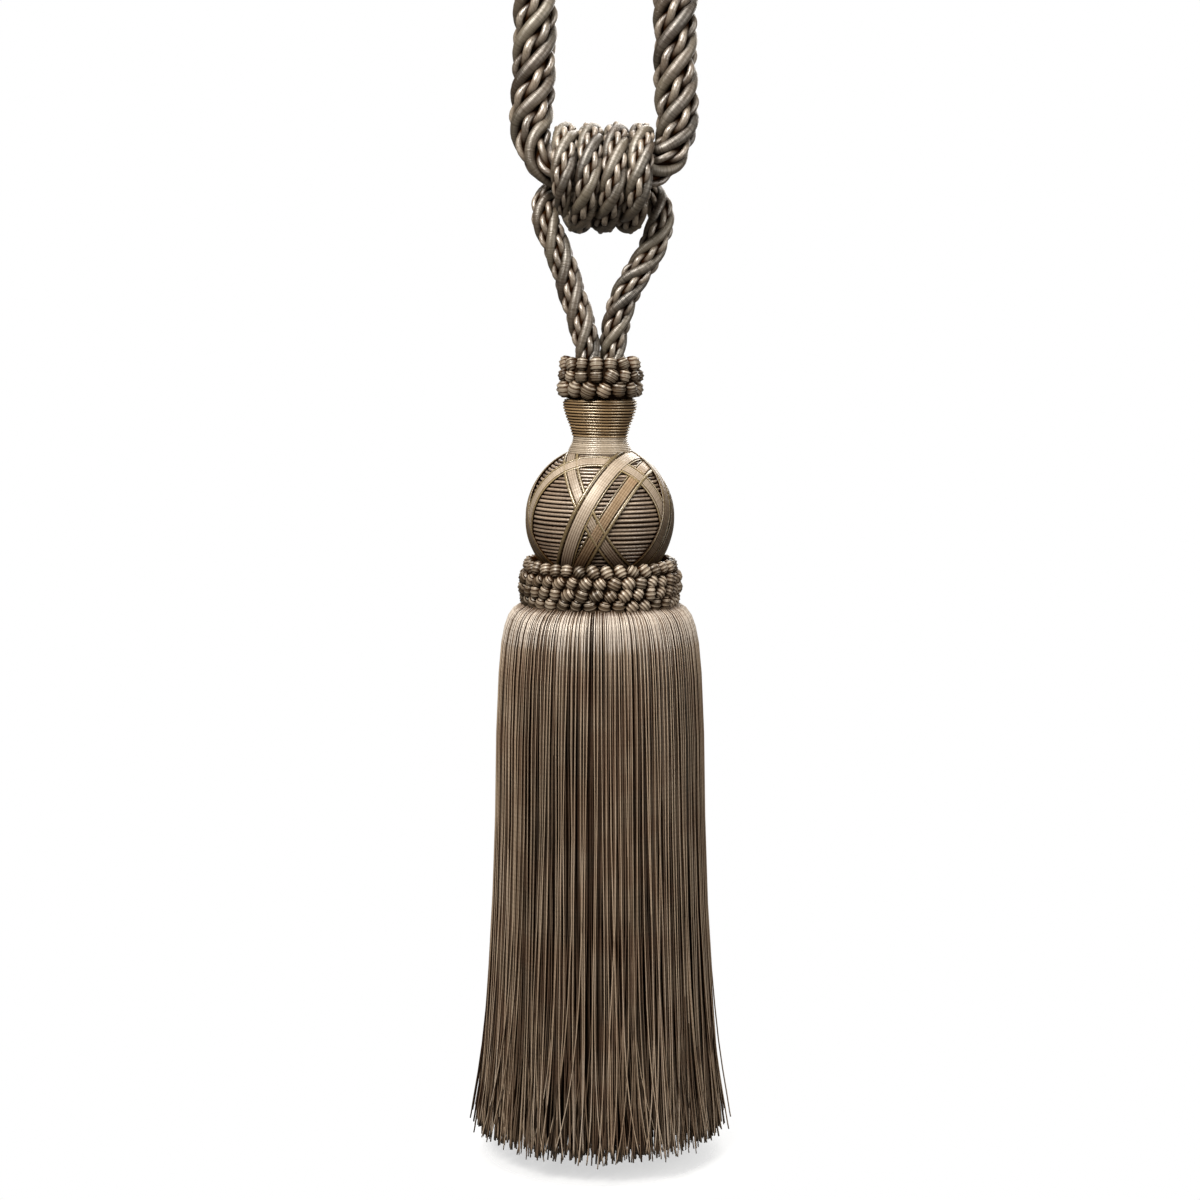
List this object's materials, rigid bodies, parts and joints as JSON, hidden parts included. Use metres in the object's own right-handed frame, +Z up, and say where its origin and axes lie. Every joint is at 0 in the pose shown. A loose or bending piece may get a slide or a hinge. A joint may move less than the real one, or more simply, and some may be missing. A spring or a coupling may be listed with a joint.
{
  "type": "curtain tieback tassel",
  "caption": "Large bullion tassel with a strapped ball head and knotted collars, hung on a twisted rope loop with a wrapped barrel knot; holds a drawn curtain back.",
  "frame": {"origin": "where the hook bears on the inside of the rope loop's crown (mount hang_point)", "axes": "+Z up, the tassel hanging along -Z; the loop lies in the XZ plane and the viewer stands on -Y"},
  "size_m": [0.0846, 0.0846, 0.4149],
  "materials": {
    "rope": "satin rayon cord, olive taupe with pale plied strands",
    "knots": "knotted gimp, satin",
    "head": "wound thread on the ball and golden brown cord on the neck",
    "strap": "flat champagne gimp with gold edge cords",
    "fringe": "fine twisted bullion, satin"
  },
  "bodies": {
    "root": {"embrace_rope": "rope", "eye_cord": "rope", "wrap_cord": "rope", "upper_collar": "knots", "head": "head", "straps": "strap", "lower_collar": "knots", "skirt": "fringe"}
  },
  "joints": []
}
